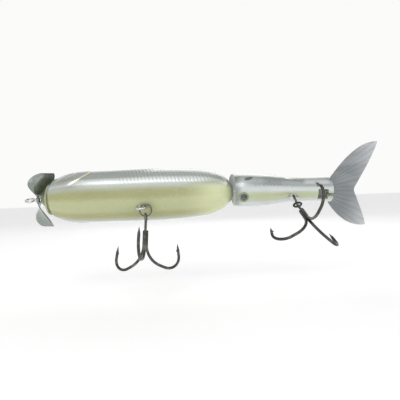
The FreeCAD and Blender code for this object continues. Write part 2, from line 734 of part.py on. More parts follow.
ring_reach = size("ring_radius")
front_hook_top = front_ring_centre + DOWN * ring_reach
lean = math.radians(size("front_hook_lean"))
hook_shape = treble()
front_shank_way = Vector(0, -math.sin(lean), -math.cos(lean))
shaped("treble_front", hook_shape, hung(front_hook_top, front_shank_way, Vector(1, 0, 0)))
rear_hook_top = rear_ring_centre + REAR_RING_REACH * ring_reach
shaped("treble_rear", hook_shape.copy(), hung(rear_hook_top, REAR_SHANK_WAY, REAR_EYE_WAY))

doc.recompute()
for obj in doc.Objects:
    if "Invalid" in obj.State or "Error" in obj.State:
        raise RuntimeError(f"{obj.Name} failed: {obj.State}")
for obj in nodes:
    if obj.Shape.isNull() or not obj.Shape.isValid():
        raise RuntimeError(f"{obj.Label} has no sound shape")

os.makedirs("parts", exist_ok=True)
for obj in nodes:
    obj.Shape.exportStep(f"parts/{obj.Label}.step")
    solids = len(obj.Shape.Solids)
    print(f"{obj.Label:22s} solids {solids} volume {obj.Shape.Volume:9.2f} mm3")
print("front loop", front_loop, "front ring bottom", front_hook_top)
print("rear loop", rear_loop, "rear ring end", rear_hook_top, "rear ring normal", rear_ring_normal)
print("pin", LURE.multVec(PIN_AXIS), "pin axis", LURE.Rotation.multVec(Vector(0, 0, 1)))
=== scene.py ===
"""Looks of the jointed topwater bait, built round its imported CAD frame."""
import json
import math

import bmesh
import bpy
from mathutils import Matrix, Quaternion, Vector


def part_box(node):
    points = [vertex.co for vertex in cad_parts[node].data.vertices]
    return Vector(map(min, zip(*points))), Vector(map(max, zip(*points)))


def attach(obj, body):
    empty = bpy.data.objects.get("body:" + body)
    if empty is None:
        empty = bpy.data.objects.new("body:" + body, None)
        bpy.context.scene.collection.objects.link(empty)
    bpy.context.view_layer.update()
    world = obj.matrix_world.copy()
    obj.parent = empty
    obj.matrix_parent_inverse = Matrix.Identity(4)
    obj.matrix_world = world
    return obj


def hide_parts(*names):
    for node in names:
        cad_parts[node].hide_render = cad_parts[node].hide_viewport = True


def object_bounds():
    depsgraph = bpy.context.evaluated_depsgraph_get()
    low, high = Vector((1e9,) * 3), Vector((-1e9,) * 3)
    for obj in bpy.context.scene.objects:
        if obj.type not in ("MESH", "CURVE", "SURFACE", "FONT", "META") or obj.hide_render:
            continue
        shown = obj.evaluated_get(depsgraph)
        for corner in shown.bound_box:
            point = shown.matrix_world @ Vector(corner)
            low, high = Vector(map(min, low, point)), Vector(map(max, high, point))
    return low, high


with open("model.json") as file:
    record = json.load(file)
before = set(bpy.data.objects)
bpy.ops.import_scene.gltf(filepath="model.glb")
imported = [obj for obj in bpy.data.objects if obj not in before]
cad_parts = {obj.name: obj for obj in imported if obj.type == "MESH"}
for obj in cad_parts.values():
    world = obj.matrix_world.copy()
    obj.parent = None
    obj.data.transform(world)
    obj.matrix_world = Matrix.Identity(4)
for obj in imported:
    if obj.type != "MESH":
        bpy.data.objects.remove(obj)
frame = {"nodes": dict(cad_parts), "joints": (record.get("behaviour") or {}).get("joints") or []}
CAD_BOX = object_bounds()

bl_info = {
    "name": "Jointed Topwater Bait",
    "version": (1, 0, 0),
    "blender": (4, 5, 0),
    "location": "View3D > Sidebar > Bait",
    "description": "Moulded skins, soft tail, rings and finishes for a jointed surface bait",
    "category": "Object",
}

MM = 0.001
JOINTS = {joint["name"]: joint for joint in frame["joints"]}
ROLL = math.radians(67.0)
REST_SWING = math.radians(2.3)
LURE = Matrix.Rotation(-ROLL, 4, "X")
PIN = Matrix.Translation(Vector(JOINTS["tail_swing"]["pos_m"]))
REAR = LURE @ PIN @ Matrix.Rotation(REST_SWING, 4, "Z") @ PIN.inverted()
SQUARENESS = 2 / 2.15

FRONT = {
    "start": 11.0, "end": 100.6, "width": 25.4, "height": 26.0, "rise": 1.5, "wall": 1.3,
    "hollow": (13.2, 92.0), "matrix": LURE, "body": "front_body",
    "shares": [(0.0, 0.625), (0.025, 0.755), (0.108, 0.925), (0.2, 0.975), (0.36, 0.985),
               (0.51, 1.0), (0.62, 0.995), (0.763, 0.945), (0.853, 0.875), (0.904, 0.785),
               (0.946, 0.635), (0.977, 0.45), (0.995, 0.27), (1.0, 0.2)],
}
BACK = {
    "start": 99.0, "end": 149.5, "width": 16.2, "height": 20.4, "rise": 3.5, "wall": 1.1,
    "hollow": (111.2, 141.3), "matrix": REAR, "body": "rear_body",
    "shares": [(0.0, 0.86), (0.05, 0.94), (0.13, 1.0), (0.24, 0.985), (0.34, 0.93), (0.46, 0.83),
               (0.57, 0.745), (0.7, 0.7), (0.84, 0.69), (1.0, 0.72)],
}
HANGER_X = 56.8

# The hinge: pin, its well and collar, the eye's slot and the hollow face in front of it
PIN_X = 105.3
COLLAR_STANDOUT = 0.4
PIN_LEVEL = BACK["rise"] - BACK["height"] / 2 - COLLAR_STANDOUT
WELL_RADIUS = 1.62
SLOT_HALF = 2.25
SLOT_FLOOR = 0.15
SLOT_ROOF = 1.85
FACE_X = 102.4
FACE_RADIUS = 26.0

# Gill plates: an arch over each side of the head, and a second one nearer the nose
GILL_X = 31.0
GILL_DEPTH = 9.0
GILL_LEVEL = 98
GILL_SPREAD = 48
GILL_STEP = 7.5
GILL_HEIGHT = 0.34
GROOVE_DEPTH = 0.16
CHEEK_DEPTH = 0.15

# Embossed ribs: pitch along the body, slant round it, and depth
FRONT_RIB_PITCH = 1.75
FRONT_RIB_SLANT = 14.0
FRONT_RIB_DEPTH = 0.045
REAR_RIB_PITCH = 1.9
REAR_RIB_SLANT = 30.0
REAR_RIB_DEPTH = 0.08

# Pale oval boss and dark spot on the rear flank: places, and squeeze along and round the body
BOSS_X = 129.6
BOSS_TURN = 0.47
BOSS_ALONG = 0.45
BOSS_ROUND = 17.0
BOSS_HEIGHT = 0.22
SPOT_X = 107.9

# The fin: where it leaves the body, half its root, and how far its two lobes belly out
FIN_START = 149.5
FIN_LEVEL = 3.5
FIN_ROOT_HALF = 6.4
FIN_BULGE_LEFT = 4.9
FIN_BULGE_RIGHT = 4.3
FIN_WAVE = 0.35


class Signal:
    """A node's output that can be used in arithmetic; each operator adds a Math node."""

    def __init__(self, recipe, socket):
        self.recipe = recipe
        self.socket = socket

    def _math(self, operation, first, second=None):
        values = {0: first} if second is None else {0: first, 1: second}
        return self.recipe.add("ShaderNodeMath", {"operation": operation}, values)

    def __add__(self, other):
        return self._math("ADD", self, other)

    __radd__ = __add__

    def __sub__(self, other):
        return self._math("SUBTRACT", self, other)

    def __rsub__(self, other):
        return self._math("SUBTRACT", other, self)

    def __mul__(self, other):
        return self._math("MULTIPLY", self, other)

    __rmul__ = __mul__

    def __truediv__(self, other):
        return self._math("DIVIDE", self, other)

    def __pow__(self, other):
        return self._math("POWER", self, other)

    def sine(self):
        return self._math("SINE", self)

    def arccosine(self):
        return self._math("ARCCOSINE", self)

    def root(self):
        return self._math("SQRT", self)

    def larger(self, other):
        return self._math("MAXIMUM", self, other)

    def rising(self, low, high):
        """0 at low, 1 at high, smooth between them."""
        return self.recipe.add("ShaderNodeMapRange", {"interpolation_type": "SMOOTHSTEP"},
                               {"Value": self, "From Min": low, "From Max": high})

    def within(self, low, high, soft):
        """1 between low and high, fading out over soft."""
        return self.rising(low - soft, low + soft) * (1 - self.rising(high - soft, high + soft))


class Recipe:
    """A material: nodes are added by one method, and sockets take numbers or signals."""

    def __init__(self, name, **constants):
        self.material = bpy.data.materials.new(name)
        self.material.use_nodes = True
        self.tree = self.material.node_tree
        self.tree.nodes.clear()
        self.output = self.tree.nodes.new("ShaderNodeOutputMaterial")
        self.surface = self.tree.nodes.new("ShaderNodeBsdfPrincipled")
        self.tree.links.new(self.surface.outputs[0], self.output.inputs[0])
        for socket, value in constants.items():
            self.surface.inputs[socket.replace("_", " ")].default_value = value

    def feed(self, socket, value):
        if isinstance(value, Signal):
            self.tree.links.new(value.socket, socket)
        elif hasattr(value, "__len__") and len(value) == 3 and len(socket.default_value) == 4:
            socket.default_value = (*value, 1.0)
        else:
            socket.default_value = value

    def add(self, kind, settings=(), values=(), out=0):
        node = self.tree.nodes.new(kind)
        for key, value in dict(settings).items():
            if key == "stops":
                set_stops(node.color_ramp, value)
            else:
                setattr(node, key, value)
        for key, value in dict(values).items():
            self.feed(node.inputs[key], value)
        return Signal(self, node.outputs[out])

    def finish(self, **inputs):
        for socket, value in inputs.items():
            self.feed(self.surface.inputs[socket.replace("_", " ")], value)
        return self.material

    def place(self):
        """The rest position, in metres, which rides with the piece."""
        return self.add("ShaderNodeTexCoord", out=3)

    def axes(self, matrix):
        """x to the tail, y to the right flank and z to the back, in millimetres."""
        inverse = matrix.inverted()
        place = self.place()
        found = []
        for row in inverse[:3]:
            part = self.add("ShaderNodeVectorMath", {"operation": "DOT_PRODUCT"},
                            {0: place, 1: tuple(v / MM for v in row[:3])}, out=1)
            found.append(part + row[3] / MM)
        return found

    def noise(self, scale, detail=3.0, stretch=(1, 1, 1)):
        """Noise with features about 1/scale of a metre across."""
        spread = self.add("ShaderNodeMapping", {}, {"Vector": self.place(), "Scale": stretch})
        return self.add("ShaderNodeTexNoise", {},
                        {"Vector": spread, "Scale": scale, "Detail": detail})

    def ramp(self, factor, stops):
        return self.add("ShaderNodeValToRGB", {"stops": stops}, {0: factor})

    def mix(self, factor, first, second, blend="MIX"):
        return self.add("ShaderNodeMix", {"data_type": "RGBA", "blend_type": blend},
                        {0: factor, 6: first, 7: second}, out=2)

    def bump(self, height, distance, strength=1.0):
        return self.add("ShaderNodeBump", {}, {"Height": height, "Distance": distance,
                                               "Strength": strength})


def set_stops(ramp, stops):
    """Replaces a ramp's stops by (position, colour) pairs."""
    while len(ramp.elements) > 1:
        ramp.elements.remove(ramp.elements[-1])
    for i, (position, colour) in enumerate(stops):
        stop = ramp.elements[0] if i == 0 else ramp.elements.new(position)
        stop.position = position
        stop.color = (*colour, 1.0)


# Finishes

def girth_angle(recipe, section):
    """x, side and the turn from belly (0) to back (1) round one body section."""
    x, y, z = recipe.axes(section["matrix"])
    up = (z - section["rise"]) / (section["height"] / 2)
    out = y / (section["width"] / 2)
    length = (up * up + out * out).root().larger(0.001)
    level = (up / length) * -0.9999
    return x, y, level.arccosine() / math.pi


def front_finish(colours):
    """Clear gloss over embossed silver flanks, a grey back and an olive belly."""
    recipe = Recipe("front_skin_gloss", Coat_Weight=0.55, Coat_Roughness=0.06, IOR=1.45)
    x, _, turn = girth_angle(recipe, FRONT)
    # Round the girth; the bright silver stops at 0.29 to 0.325 are a painted highlight, the foil flank's
    # reflection painted as a narrow band
    base = recipe.ramp(turn, [
        (0.0, colours.belly), (0.06, colours.belly), (0.115, colours.belly_band),
        (0.17, colours.belly_band), (0.215, colours.belly_edge), (0.26, colours.flank),
        (0.29, colours.silver_and_highlight), (0.325, colours.silver_and_highlight), (0.365, colours.flank), (0.5, colours.back),
        (0.64, colours.back), (1.0, colours.back)])
    # Painted light: the belly is painted paler towards the joint, where extra light brightens it
    painted_tail_light = x.rising(74, 96) * (1 - turn.rising(0.18, 0.42))
    base = recipe.mix(painted_tail_light * 0.75, base, colours.lit_tail_belly)
    head = (1 - x.rising(14, 33)) * turn.rising(0.2, 0.34)
    base = recipe.mix(head * 0.7, base, colours.head)
    cloud = recipe.noise(95.0, 4.0, (0.45, 1, 1))
    base = recipe.mix(cloud.rising(0.42, 0.7) * 0.28, base, colours.cloud, "MULTIPLY")
    flank = turn.within(0.27, 0.66, 0.035)
    phase = (x + turn * FRONT_RIB_SLANT) * (2 * math.pi / FRONT_RIB_PITCH)
    ribs = (phase.sine() * 0.5 + 0.5) ** 3.0
    rib_grooves_and_shade = ribs * flank * x.within(46, 96, 5)
    # Painted shade: the rib grooves are darkened where shade falls in them
    base = recipe.mix(rib_grooves_and_shade * 0.3, base, colours.rib_groove_shade)
    degrees = turn * 180
    arch = (degrees - GILL_LEVEL) / GILL_SPREAD
    beyond = x - GILL_X + arch * arch * GILL_DEPTH
    sides = turn.within(0.3, 0.85, 0.03)
    inner = beyond + GILL_STEP
    # Painted highlight: a pale gold line along each gill plate's raised edge; below, painted shade just
    # behind the edge
    plate = (beyond.within(-0.5, 0.35, 0.25) + inner.within(-0.3, 0.3, 0.25) * 0.8) * sides
    base = recipe.mix(plate * 0.85, base, colours.gill_edge_highlight)
    shade = (beyond.within(0.5, 1.3, 0.4) + inner.within(0.6, 1.5, 0.4) * 0.8) * sides
    base = recipe.mix(shade * 0.55, base, colours.gill_shade)
    flake = recipe.noise(2600.0, 1.0)
    base = recipe.mix(flake.rising(0.6, 0.72) * 0.22, base, colours.silver_and_highlight)
    metal = turn.within(0.26, 0.4, 0.04) * 0.5 + 0.06
    grain = recipe.noise(700.0, 3.0, (0.3, 1, 1))
    rough = 0.24 + grain * 0.14 - flank * 0.05
    height = rib_grooves_and_shade * -0.6 + grain * 0.25
    return recipe.finish(Base_Color=base, Metallic=metal, Roughness=rough,
                         Normal=recipe.bump(height, 0.00012, 0.6))


def rear_finish(colours):
    """The front's finish on the rear section, with its printed spot, painted shade in its rib grooves and
    painted shade on its front face.
    """
    recipe = Recipe("rear_skin_gloss", Coat_Weight=0.6, Coat_Roughness=0.07, IOR=1.45)
    x, y, turn = girth_angle(recipe, BACK)
    base = recipe.ramp(turn, [
        (0.0, colours.rear_belly), (0.045, colours.rear_belly), (0.085, colours.rear_edge),
        (0.13, colours.rear_silver), (0.3, colours.rear_silver), (0.4, colours.flank),
        (0.58, colours.back), (1.0, colours.back)])
    cloud = recipe.noise(150.0, 4.0, (0.5, 1, 1))
    base = recipe.mix(cloud.rising(0.4, 0.7) * 0.3, base, colours.cloud, "MULTIPLY")
    left = 1 - y.rising(-0.6, 0.6)
    phase = (x + turn * REAR_RIB_SLANT) * (2 * math.pi / REAR_RIB_PITCH)
    ribs = (phase.sine() * 0.5 + 0.5) ** 4.0
    rib_grooves_and_shade = ribs * turn.within(0.23, 0.42, 0.02) * x.within(115.2, 124.2, 0.6)
    # Painted shade: the rear rib grooves are darkened in the dark mark colour
    base = recipe.mix(rib_grooves_and_shade * 0.6, base, colours.mark)
    along = (x - SPOT_X) * 0.42
    across = (turn - 0.36 - (x - SPOT_X) * 0.012) * 22.0
    spot = 1 - (along * along + across * across).rising(0.55, 1.0)
    base = recipe.mix(spot * 0.85, base, colours.mark)
    boss_x = (x - BOSS_X) * BOSS_ALONG
    boss_turn = (turn - BOSS_TURN) * BOSS_ROUND
    boss = 1 - (boss_x * boss_x + boss_turn * boss_turn).rising(0.5, 1.0)
    base = recipe.mix(boss * 0.8, base, colours.cream)
    # Painted shade: the rear section's front face, in the gap behind the front section, is painted dark
    nose = 1 - x.rising(101.2, 105.2)
    base = recipe.mix(nose * 0.75, base, colours.socket)
    patch = x.within(136, 148, 1.2) * turn.within(0.3, 0.46, 0.03)
    base = recipe.mix(patch * 0.8, base, colours.silver_and_highlight)
    flank = turn.within(0.22, 0.62, 0.04) * (1 - spot)
    grain = recipe.noise(900.0, 3.0, (0.4, 1, 1))
    rough = 0.22 + grain * 0.16
    height = rib_grooves_and_shade * -0.7 + grain * 0.25
    return recipe.finish(Base_Color=base, Metallic=flank * 0.5 + 0.1 * left + 0.05, Roughness=rough,
                         Normal=recipe.bump(height, 0.00012, 0.6))


def moulded_finish(name, colour, deep, rough=0.3, coat=0.7):
    """Tinted moulded plastic, with faint flow marks."""
    recipe = Recipe(name, Coat_Weight=coat, Coat_Roughness=0.08, IOR=1.49)
    flow = recipe.noise(260.0, 4.0, (0.35, 1, 1))
    base = recipe.mix(flow.rising(0.35, 0.68), colour, deep)
    grain = recipe.noise(1500.0, 2.0)
    return recipe.finish(Base_Color=base, Roughness=rough + grain * 0.12,
                         Normal=recipe.bump(grain, 0.00003, 0.5))


def metal_finish(name, colour, worn, rough=0.22, scale=900.0, stretch=(1, 1, 1)):
    """Polished or plated metal: fine draw marks, and paler rubbed places."""
    recipe = Recipe(name, Metallic=1.0)
    marks = recipe.noise(scale, 4.0, stretch)
    rub = recipe.noise(scale * 0.22, 3.0)
    base = recipe.mix(rub.rising(0.52, 0.72) * 0.7, colour, worn)
    base = recipe.mix(marks.rising(0.45, 0.75) * 0.3, base, worn)
    return recipe.finish(Base_Color=base, Roughness=rough + marks * 0.16 - rub * 0.05,
                         Normal=recipe.bump(marks, 0.00002, 0.5))


def fin_finish(colours):
    """Smoke-grey soft plastic, paler to the tips, with darker rays."""
    recipe = Recipe("soft_fin_smoke", Coat_Weight=0.35, Coat_Roughness=0.15, IOR=1.45,
                    Transmission_Weight=0.25)
    x, y, _ = recipe.axes(REAR)
    reach = ((x - FIN_START) * (x - FIN_START) + y * y * 0.35).root()
    base = recipe.mix(reach.rising(9, 27), colours.fin_root, colours.fin_tip)
    bearing = y / (x - 141.0).larger(1.0)
    rays = ((bearing * 46.0).sine() * 0.5 + 0.5) ** 2.0
    base = recipe.mix(rays * 0.2, base, colours.fin_ray)
    streak = recipe.noise(240.0, 4.0, (0.3, 1, 1))
    base = recipe.mix(streak.rising(0.45, 0.7) * 0.2, base, colours.fin_tip)
    fine = recipe.noise(1300.0, 2.0)
    return recipe.finish(Base_Color=base, Roughness=0.34 + fine * 0.14,
                         Alpha=0.97 - reach.rising(10, 30) * 0.2,
                         Normal=recipe.bump(rays * 0.6 + fine * 0.3, 0.00008, 0.6))


# Mesh helpers

def link(name, mesh):
    """A new object in the scene."""
    obj = bpy.data.objects.new(name, mesh)
    bpy.context.scene.collection.objects.link(obj)
    return obj


def mesh_piece(name, points, faces, material, body, crease=35.0):
    """A named mesh in the frame's metres, with outward faces, riding on a body."""
    mesh = bpy.data.meshes.new(name)
    mesh.from_pydata(points, [], faces)
    work = bmesh.new()
    work.from_mesh(mesh)
    bmesh.ops.remove_doubles(work, verts=work.verts, dist=1e-7)
    bmesh.ops.dissolve_degenerate(work, edges=work.edges, dist=1e-8)
    bmesh.ops.recalc_face_normals(work, faces=work.faces)
    work.to_mesh(mesh)
    work.free()
    obj = link(name, mesh)
    return dress(obj, material, body, crease)


def dress(obj, material, body, crease=35.0):
    """Gives a piece its material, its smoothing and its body."""
    obj.data.materials.clear()
    obj.data.materials.append(material)
    obj.data.shade_smooth()
    obj.data.set_sharp_from_angle(angle=math.radians(crease))
    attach(obj, body)
    return obj


def hermite(pairs, at):
    """A smooth curve through (position, value) pairs."""
    at = min(max(at, pairs[0][0]), pairs[-1][0])
    slopes = []
    for i in range(len(pairs)):
        a, b = pairs[max(i - 1, 0)], pairs[min(i + 1, len(pairs) - 1)]
        slopes.append((b[1] - a[1]) / (b[0] - a[0]))
    for i in range(len(pairs) - 1):
        (x0, y0), (x1, y1) = pairs[i], pairs[i + 1]
        if at <= x1:
            span = x1 - x0
            t = (at - x0) / span
            return (y0 * (1 + 2 * t) * (1 - t) ** 2 + slopes[i] * span * t * (1 - t) ** 2
                    + y1 * t * t * (3 - 2 * t) + slopes[i + 1] * span * t * t * (t - 1))
    return pairs[-1][1]


def ease(low, high, value):
    """0 at low, 1 at high, smooth between them."""
    t = min(max((value - low) / (high - low), 0.0), 1.0)
    return t * t * (3 - 2 * t)


def front_relief(x, turn):
    """Gill plates, cheek groove, ribs, seam bead and the hanger's pad, in millimetres."""
    degrees = turn * 180
    edge = GILL_X - GILL_DEPTH * ((degrees - GILL_LEVEL) / GILL_SPREAD) ** 2
    window = ease(40, 60, degrees) * (1 - ease(140, 158, degrees))
    plate = GILL_HEIGHT * ease(-0.35, 0.35, edge - x) * ease(12.5, 20.0, x) * window
    inner_edge = edge - GILL_STEP
    groove = -GROOVE_DEPTH * math.exp(-((x - inner_edge) / 0.45) ** 2) * window
    cheek_line = 61 + 0.4 * (x - 15)
    cheek = (-CHEEK_DEPTH * math.exp(-((degrees - cheek_line) / 1.5) ** 2)
             * ease(12.5, 15, x) * (1 - ease(23, 25, x)))
    flank = (ease(50, 60, degrees) * (1 - ease(108, 118, degrees))
             * ease(42, 50, x) * (1 - ease(90, 97, x)))
    wave = math.sin((x + turn * FRONT_RIB_SLANT) * 2 * math.pi / FRONT_RIB_PITCH)
    ribs = -FRONT_RIB_DEPTH * (0.5 + 0.5 * wave) ** 3 * flank
    seam = 0.1 * math.exp(-(degrees / 1.1) ** 2) + 0.07 * math.exp(-((180 - degrees) / 1.1) ** 2)
    beyond = math.hypot(x - HANGER_X, degrees * math.pi / 180 * 13.0)
    pad = 0.35 * (1 - ease(2.4, 3.3, beyond))
    return plate + groove + cheek + ribs + seam * ease(12, 14, x) + pad


def rear_relief(x, turn):
    """Shallow ribs, the seam bead and the flank's boss on the rear section, in millimetres."""
    degrees = turn * 180
    flank = (ease(38, 48, degrees) * (1 - ease(98, 108, degrees))
             * ease(115, 118, x) * (1 - ease(126, 129, x)))
    wave = math.sin((x + turn * REAR_RIB_SLANT) * 2 * math.pi / REAR_RIB_PITCH)
    ribs = -REAR_RIB_DEPTH * (0.5 + 0.5 * wave) ** 4 * flank
    seam = 0.08 * math.exp(-(degrees / 1.6) ** 2) + 0.06 * math.exp(-((180 - degrees) / 1.6) ** 2)
    oval = ((x - BOSS_X) * BOSS_ALONG) ** 2 + ((turn - BOSS_TURN) * BOSS_ROUND) ** 2
    boss = BOSS_HEIGHT * (1 - ease(0.5, 1.0, oval))
    return ribs + seam * ease(110, 112, x) + boss


def half_skin(name, section, side, relief, rings, steps, material):
    """One moulded half of a body: an outer skin with relief, an inner wall and the joint face."""
    start, end = section["start"], section["end"]
    inner_start, inner_end = section["hollow"]
    points, faces = [], []
    columns = [start + (end - start) * (0.5 - 0.5 * math.cos(math.pi * i / (rings - 1)))
               for i in range(rings)]
    profile = [(start, 0.0)] + [(x, hermite(section["shares"], (x - start) / (end - start)))
                                for x in columns] + [(end, 0.0)]

    def ring_points(x, half_width, half_height, lift):
        for j in range(steps + 1):
            turn = j / steps
            angle = math.pi * turn
            raised = relief(x, turn) * lift
            across = abs(math.sin(angle)) ** SQUARENESS
            up = -math.copysign(abs(math.cos(angle)) ** SQUARENESS, math.cos(angle))
            if j in (0, steps):
                across = 0.0
            place = Vector((x, side * (half_width + raised) * across * (half_width > 0),
                            section["rise"] + (half_height + raised * (half_height > 0)) * up))
            points.append(section["matrix"] @ (place * MM))

    for x, share in profile:
        ring_points(x, share * section["width"] / 2, share * section["height"] / 2, min(share * 2, 1.0))
    inner_first = len(points)
    for x, share in profile:
        inner_x = inner_start + (x - start) / (end - start) * (inner_end - inner_start)
        inner_share = hermite(section["shares"], (inner_x - start) / (end - start)) * (share > 0)
        wall = section["wall"] * (share > 0)
        ring_points(inner_x, max(inner_share * section["width"] / 2 - wall, 0),
                    max(inner_share * section["height"] / 2 - wall, 0), 0.0)
    row = steps + 1
    for i in range(len(profile) - 1):
        for j in range(steps):
            a, b = i * row + j, (i + 1) * row + j
            faces.append((a, b, b + 1, a + 1))
            faces.append((inner_first + a, inner_first + a + 1, inner_first + b + 1, inner_first + b))
        for j in (0, steps):
            a, b = i * row + j, (i + 1) * row + j
            faces.append((a, b, inner_first + b, inner_first + a))
    return mesh_piece(name, points, faces, material, section["body"], crease=50.0)


def tube(points, radii, sides, closed=False):
    """Vertices and faces of a round wire along a line of points."""
    if not hasattr(radii, "__len__"):
        radii = [radii] * len(points)
    ways = []
    for i in range(len(points)):
        before = points[i - 1] if closed or i else points[i]
        after = points[(i + 1) % len(points)] if closed or i < len(points) - 1 else points[i]
        ways.append((after - before).normalized())
    normal = ways[0].orthogonal().normalized()
    verts, faces = [], []
    for i, (point, way, radius) in enumerate(zip(points, ways, radii)):
        if i:
            normal = ways[i - 1].rotation_difference(way) @ normal
        normal = (normal - way * normal.dot(way)).normalized()
        other = way.cross(normal)
        for k in range(sides):
            a = 2 * math.pi * k / sides
            verts.append(point + (normal * math.cos(a) + other * math.sin(a)) * radius)
    count = len(points) if closed else len(points) - 1
    for i in range(count):
        n = (i + 1) % len(points)
        for k in range(sides):
            m = (k + 1) % sides
            faces.append((i * sides + k, i * sides + m, n * sides + m, n * sides + k))
    if not closed:
        faces.append(tuple(range(sides))[::-1])
        faces.append(tuple((len(points) - 1) * sides + k for k in range(sides)))
    return verts, faces


def cutter(name, points, faces):
    """A closed shape to cut or join with."""
    mesh = bpy.data.meshes.new(name)
    mesh.from_pydata(points, [], faces)
    work = bmesh.new()
    work.from_mesh(mesh)
    bmesh.ops.recalc_face_normals(work, faces=work.faces)
    work.to_mesh(mesh)
    work.free()
    return link(name, mesh)


def box_cutter(name, low, high, matrix):
    corners = [Vector((x, y, z)) for x in (low[0], high[0]) for y in (low[1], high[1])
               for z in (low[2], high[2])]
    faces = [(0, 1, 3, 2), (4, 6, 7, 5), (0, 4, 5, 1), (2, 3, 7, 6), (0, 2, 6, 4), (1, 5, 7, 3)]
    return cutter(name, [matrix @ (c * MM) for c in corners], faces)


def round_cutter(name, radius, start, end, matrix, sides=48):
    verts, faces = tube([matrix @ (Vector(start) * MM), matrix @ (Vector(end) * MM)], radius * MM, sides)
    return cutter(name, verts, faces)


def ball_cutter(name, radius, centre, matrix):
    mesh = bpy.data.meshes.new(name)
    work = bmesh.new()
    bmesh.ops.create_uvsphere(work, u_segments=96, v_segments=64, radius=radius * MM)
    bmesh.ops.translate(work, verts=work.verts, vec=matrix @ (Vector(centre) * MM))
    work.to_mesh(mesh)
    work.free()
    return link(name, mesh)


def carve(obj, cutters, operation="DIFFERENCE"):
    """Applies booleans to a piece and removes the cutters."""
    for tool in cutters:
        change = obj.modifiers.new("cut", "BOOLEAN")
        change.operation = operation
        change.solver = "EXACT"
        change.object = tool
    graph = bpy.context.evaluated_depsgraph_get()
    mesh = bpy.data.meshes.new_from_object(obj.evaluated_get(graph))
    obj.modifiers.clear()
    obj.data = mesh
    for tool in cutters:
        bpy.data.objects.remove(tool)
    obj.data.shade_smooth()
    obj.data.set_sharp_from_angle(angle=math.radians(50))


# Sizes and colours that a user would change

def colour(name, value, text):
    return bpy.props.FloatVectorProperty(name=name, subtype="COLOR", size=3, min=0, max=1,
                                         default=value, description=text)


class BaitColours(bpy.types.PropertyGroup):
    belly: colour("Belly", (0.46, 0.48, 0.26), "Olive-yellow belly")
    belly_band: colour("Belly band", (0.37, 0.37, 0.17), "Browner band on each side of the belly")
    belly_edge: colour("Belly edge", (0.42, 0.45, 0.34), "Where the belly meets the silver flank")
    # Painted light: the paler belly near the joint stands in for light falling there
    lit_tail_belly: colour("Tail belly", (0.72, 0.76, 0.46), "Paler belly near the joint")
    rear_belly: colour("Rear belly", (0.52, 0.56, 0.36), "Belly of the rear section")
    rear_edge: colour("Rear edge", (0.54, 0.58, 0.47), "Edge of the rear section's belly")
    rear_silver: colour("Rear silver", (0.6, 0.64, 0.64), "Silver of the rear flank")
    # Silver colour: foil flakes, the rear patch, and the painted highlight band along the front flank
    silver_and_highlight: colour("Silver", (0.86, 0.89, 0.88), "Bright film behind the flank")
    flank: colour("Flank", (0.44, 0.47, 0.44), "Upper flank")
    back: colour("Back", (0.3, 0.33, 0.31), "Smoky back")
    # Painted highlight on the gill plates' edges, and painted shade behind them (gill_shade)
    gill_edge_highlight: colour("Gill line", (0.78, 0.75, 0.5), "Pale gold edges of the gill plates")
    gill_shade: colour("Gill shade", (0.25, 0.25, 0.14), "Olive shade behind the gill plates")
    head: colour("Head", (0.46, 0.48, 0.44), "Silver-grey head")
    cloud: colour("Cloud", (0.72, 0.74, 0.66), "Soft darker clouds in the tint")
    # Painted shade that darkens the front rib grooves
    rib_groove_shade: colour("Rib", (0.24, 0.27, 0.24), "Embossed ribs")
    # Printed spot, and painted shade in the rear rib grooves
    mark: colour("Mark", (0.06, 0.07, 0.06), "Printed marks")
    cream: colour("Cream", (0.78, 0.77, 0.64), "Pale boss on the rear flank")
    # Painted shade on the rear section's front face, in the gap between the sections
    socket: colour("Socket", (0.16, 0.18, 0.16), "Dark front face of the rear section")
    fin_root: colour("Fin root", (0.25, 0.27, 0.28), "Fin beside the body")
    fin_tip: colour("Fin tip", (0.62, 0.64, 0.66), "Fin's thin tips")
    fin_ray: colour("Fin ray", (0.1, 0.11, 0.12), "Rays of the fin")


class BaitSizes(bpy.types.PropertyGroup):
    rings: bpy.props.IntProperty(name="Rings", default=230, min=20, description="Sections along a skin")
    steps: bpy.props.IntProperty(name="Steps", default=72, min=12, description="Points round half a skin")
    fin_rays: bpy.props.IntProperty(name="Fin rays", default=15, min=0, description="Rays across the fin")
    root_sheet: bpy.props.FloatProperty(name="Root thickness", default=1.6 * MM, unit="LENGTH",
                                        description="Fin's thickness at its root")
    tip_sheet: bpy.props.FloatProperty(name="Tip thickness", default=0.5 * MM, unit="LENGTH",
                                       description="Fin's thickness at its tips")
    lens: bpy.props.FloatProperty(name="Lens", default=32.85, min=10, description="Lens, in millimetres")


def colours_now():
    return bpy.context.scene.bait_colours


def sizes_now():
    return bpy.context.scene.bait_sizes


class BAIT_OT_front_skins(bpy.types.Operator):
    """Makes the two moulded halves of the front section"""
    bl_idname = "bait.front_skins"
    bl_label = "Front skins"

    def execute(self, context):
        material = front_finish(colours_now())
        sizes = sizes_now()
        for side, sign in (("left", -1), ("right", 1)):
            skin = half_skin(f"front_skin_{side}", FRONT, sign, front_relief,
                             sizes.rings, sizes.steps, material)
            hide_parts(f"front_shell_{side}")
        return {"FINISHED"}


